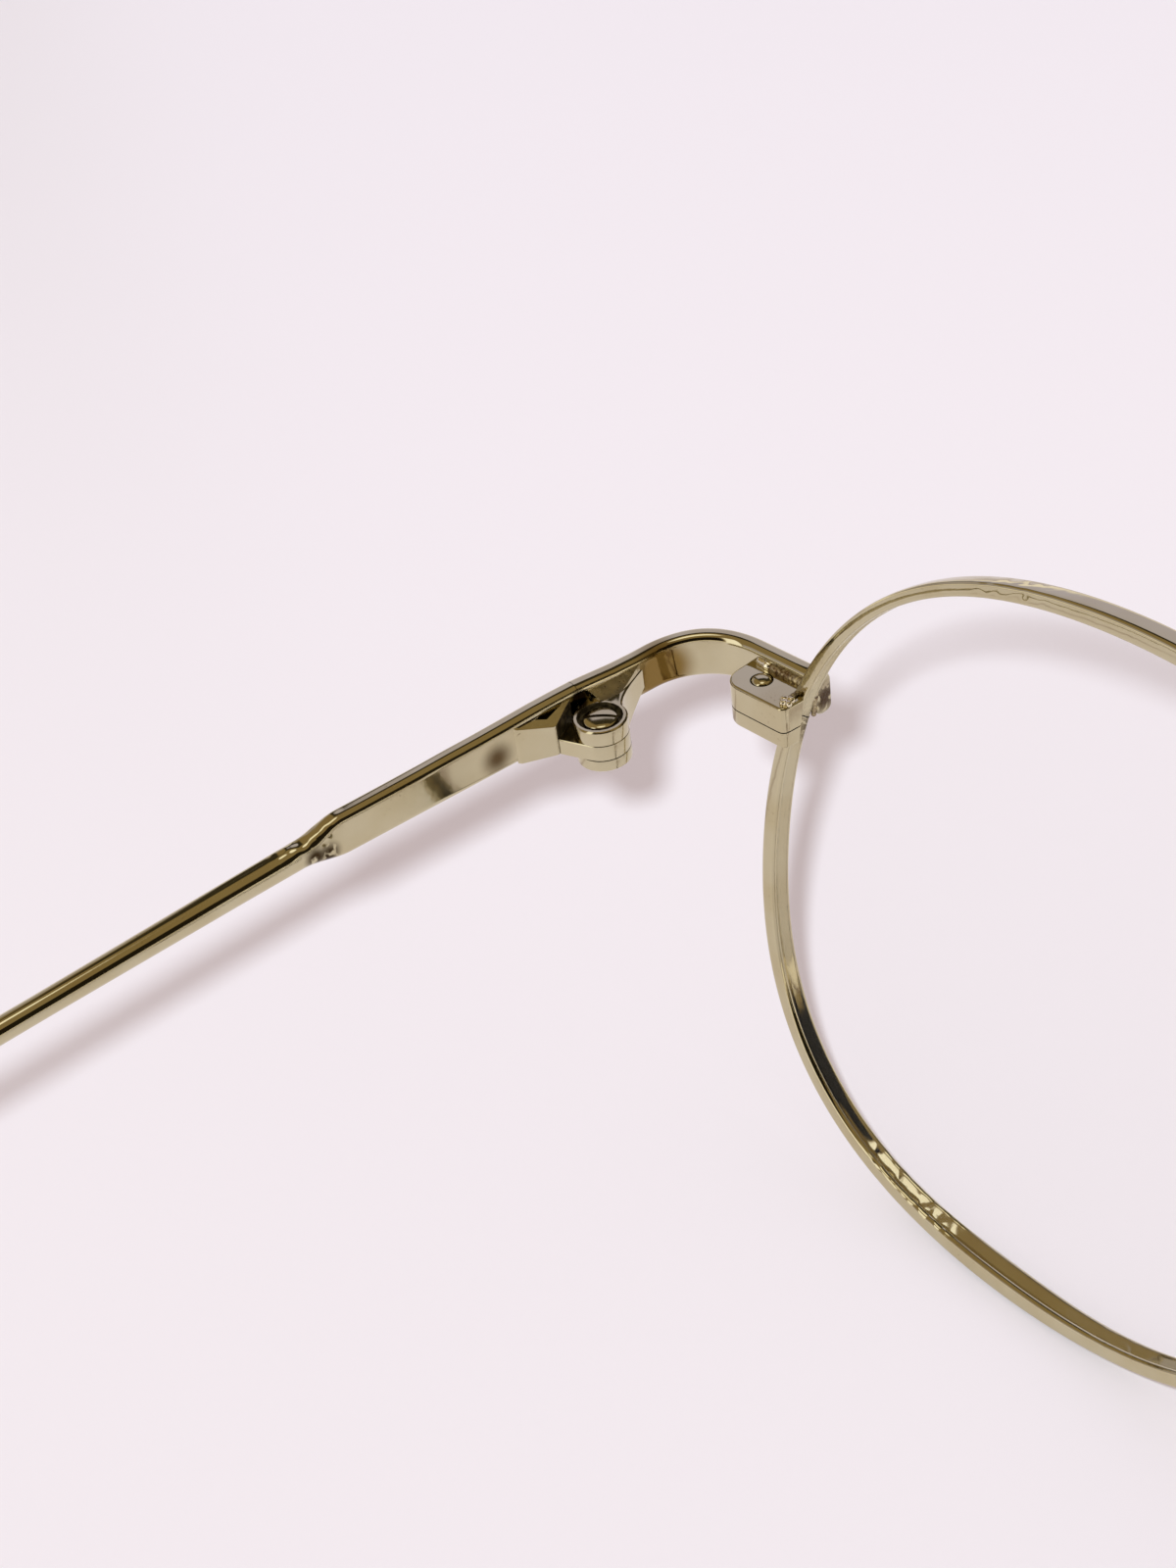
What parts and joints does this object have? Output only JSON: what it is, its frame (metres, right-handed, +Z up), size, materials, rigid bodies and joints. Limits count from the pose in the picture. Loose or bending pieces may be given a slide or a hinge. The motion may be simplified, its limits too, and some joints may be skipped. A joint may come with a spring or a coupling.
{
  "type": "round eyeglasses",
  "caption": "Round metal eyeglasses with screwed closing blocks, barrel hinges, adjustable nose pads and bent temple tips.",
  "frame": {"origin": "middle of the pair on the surface that its rims and temple tips stand on", "axes": "+Z up, -Y the way the lenses look, +X the wearer's left"},
  "size_m": [0.1264, 0.142, 0.0447],
  "materials": {
    "gold": "polished pale gold plating",
    "screw": "pale gold plating",
    "lens": "clear",
    "pad": "clear soft plastic",
    "tip": "polished dark brown plastic"
  },
  "bodies": {
    "front": {"bridge": "gold", "rim_left": "gold", "rim_right": "gold", "lens_left": "lens", "lens_right": "lens", "end_piece_left": "gold", "end_piece_right": "gold", "closing_block_upper_left": "gold", "closing_block_upper_right": "gold", "closing_block_lower_left": "gold", "closing_block_lower_right": "gold", "closing_block_screw_left": "screw", "closing_block_screw_right": "screw", "hinge_front_leaf_left": "gold", "hinge_front_leaf_right": "gold", "hinge_screw_left": "screw", "hinge_screw_right": "screw", "pad_arm_left": "gold", "pad_arm_right": "gold", "pad_box_left": "gold", "pad_box_right": "gold", "pad_screw_left": "screw", "pad_screw_right": "screw"},
    "temple_left_body": {"hinge_temple_leaf_left": "gold", "temple_left": "gold", "temple_tip_left": "tip"},
    "nose_pad_left_body": {"nose_pad_left": "pad"},
    "temple_right_body": {"hinge_temple_leaf_right": "gold", "temple_right": "gold", "temple_tip_right": "tip"},
    "nose_pad_right_body": {"nose_pad_right": "pad"}
  },
  "joints": [
    {"name": "temple_left_fold", "type": "hinge", "parent": "front", "child": "temple_left_body", "pos_m": [0.05989, -0.05565, 0.03042], "axis": [0, 0, 1], "range_deg": [0, 88]},
    {"name": "nose_pad_left_rock", "type": "hinge", "parent": "front", "child": "nose_pad_left_body", "pos_m": [0.00814, -0.05894, 0.01583], "axis": [0.4013, 0.8831, 0.243], "range_deg": [-12, 12]},
    {"name": "temple_right_fold", "type": "hinge", "parent": "front", "child": "temple_right_body", "pos_m": [-0.05989, -0.05565, 0.03042], "axis": [0, 0, -1], "range_deg": [0, 82]},
    {"name": "nose_pad_right_rock", "type": "hinge", "parent": "front", "child": "nose_pad_right_body", "pos_m": [-0.00814, -0.05894, 0.01583], "axis": [-0.4013, 0.8831, 0.243], "range_deg": [-12, 12]}
  ]
}
